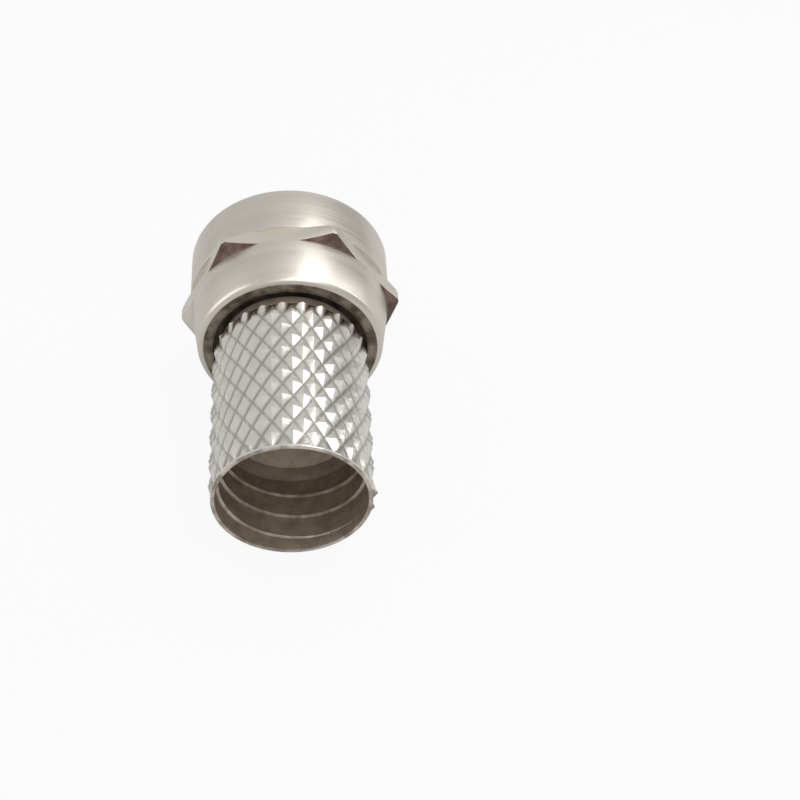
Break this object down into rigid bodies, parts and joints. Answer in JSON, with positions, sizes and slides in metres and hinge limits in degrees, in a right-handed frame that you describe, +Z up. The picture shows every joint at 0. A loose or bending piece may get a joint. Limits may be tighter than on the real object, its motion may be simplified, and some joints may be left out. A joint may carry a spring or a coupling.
{
  "type": "screw-on f connector",
  "caption": "Screw-on F connector: a hexagonal coupling nut that spins on the lipped neck of a diamond-knurled sleeve, which screws onto the end of a coaxial cable.",
  "frame": {"origin": "centre of the front lip's face, on the connector's axis: the plane that seats against an F port", "axes": "the axis lies along Y: +Y out of the nut's mouth towards the port, -Y out of the cable end; +Z up, with the nut on its front collar and one corner of its hexagon; +X across"},
  "size_m": [0.012, 0.0177, 0.011],
  "materials": {
    "nickel_nut": "bright nickel plate, soft sheen, brown stains inside",
    "nickel_body": "bright nickel plate over a diamond knurl"
  },
  "bodies": {
    "sleeve": {"knurled_body": "nickel_body"},
    "nut": {"coupling_nut": "nickel_nut"}
  },
  "joints": [
    {"name": "nut_spin", "type": "hinge", "parent": "sleeve", "child": "nut", "pos_m": [0, -0.0008, 0], "axis": [0, 1, 0], "continuous": true}
  ]
}
